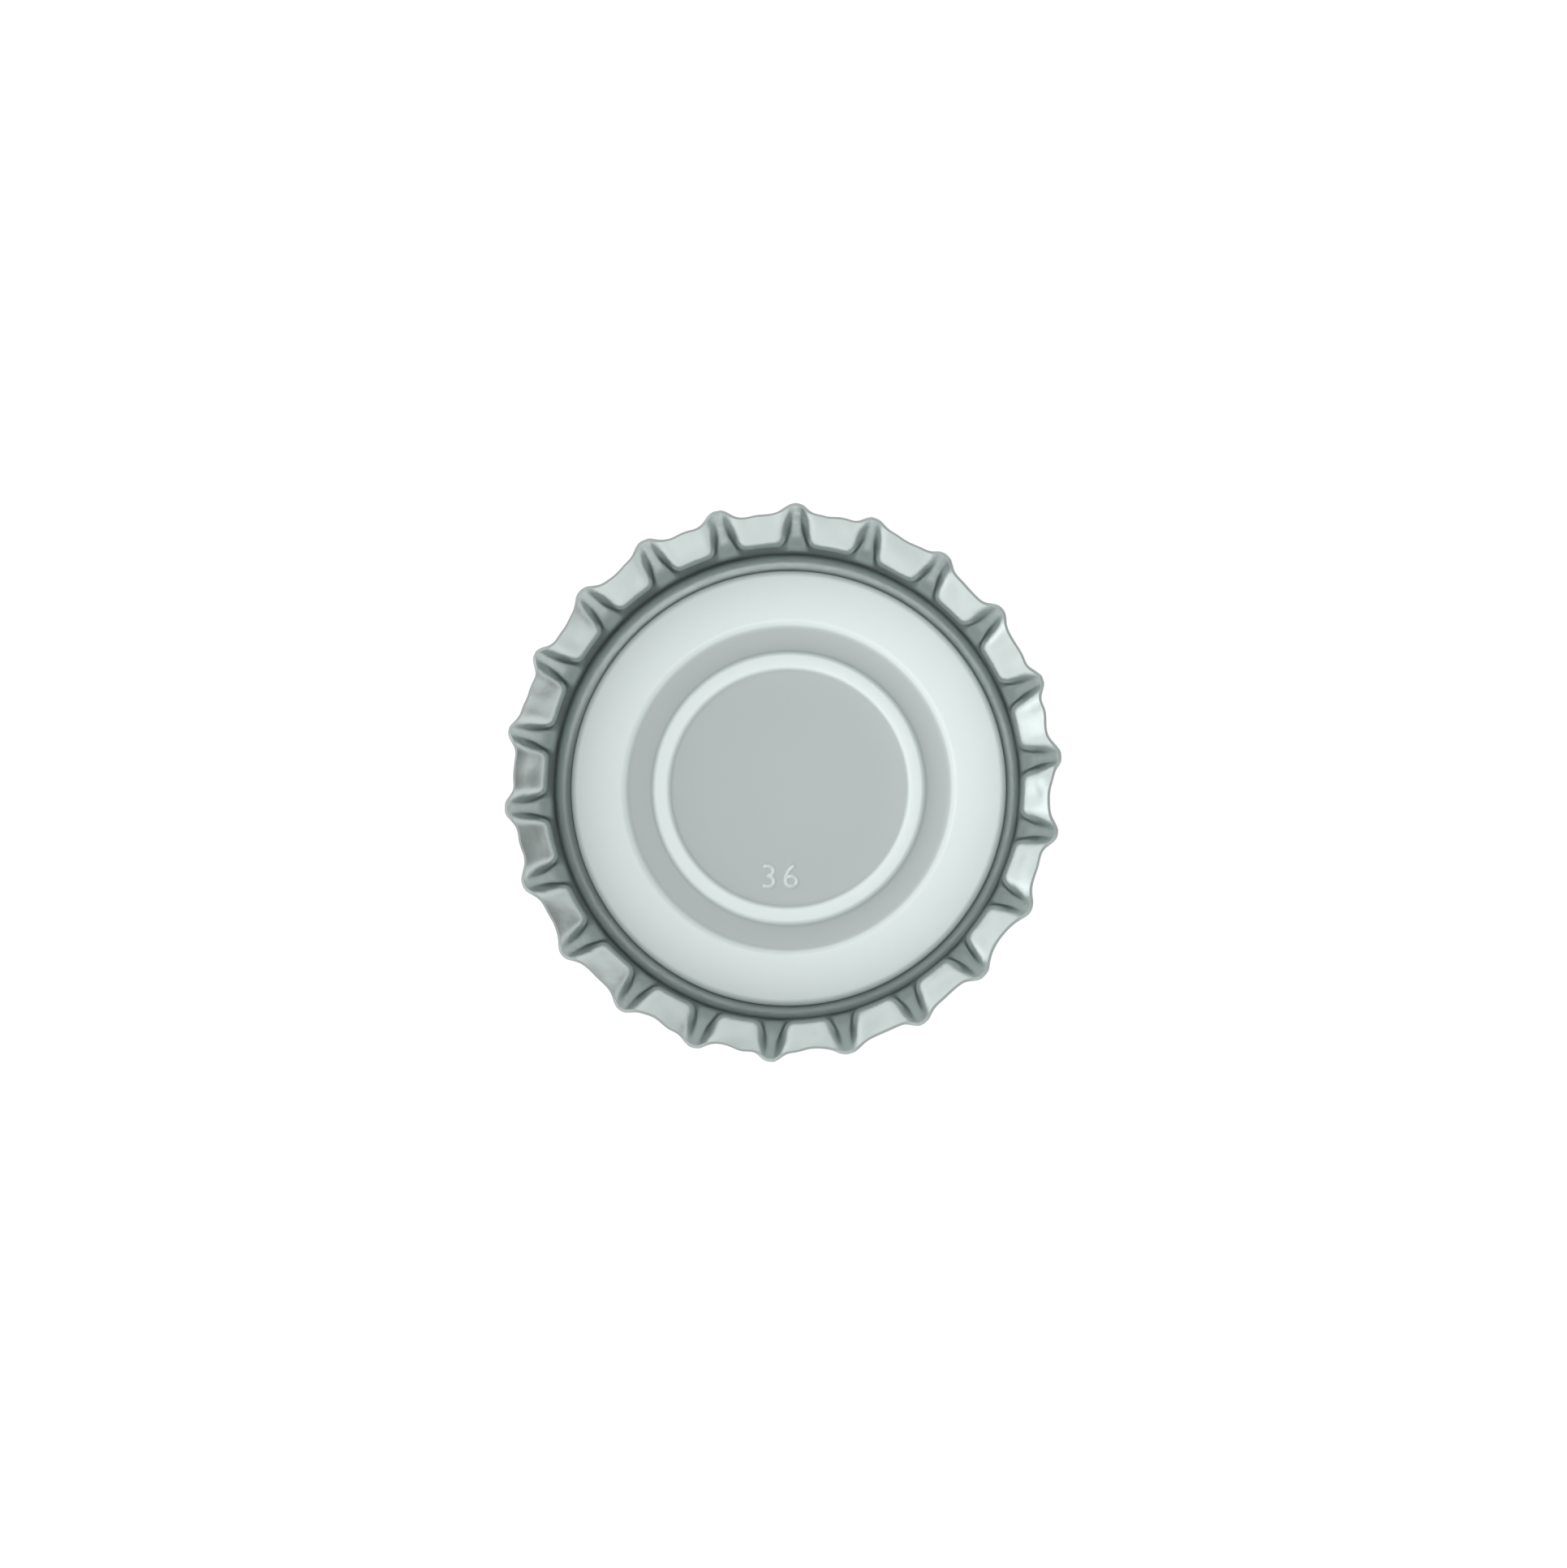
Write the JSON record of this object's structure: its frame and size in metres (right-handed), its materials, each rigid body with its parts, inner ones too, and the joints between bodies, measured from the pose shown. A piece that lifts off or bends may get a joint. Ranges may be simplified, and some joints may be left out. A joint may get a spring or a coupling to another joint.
{
  "type": "crown bottle cap",
  "caption": "Pressed steel crown cap with a fluted, flared skirt and a moulded sealing liner, lying open side up.",
  "frame": {"origin": "on the cap's axis, at the outside of the panel, which is the plane it rests on", "axes": "+Z along the cap's axis, out of the open side; +X through the crest of a flute"},
  "size_m": [0.032, 0.0318, 0.006],
  "materials": {
    "tinned_steel": "bright tinned sheet under clear lacquer, fine scuffs on the flutes",
    "liner_compound": "soft satin moulded compound, milky where thick and greyer where thin"
  },
  "bodies": {
    "root": {"crown_shell": "tinned_steel", "sealing_liner": "liner_compound"}
  },
  "joints": []
}
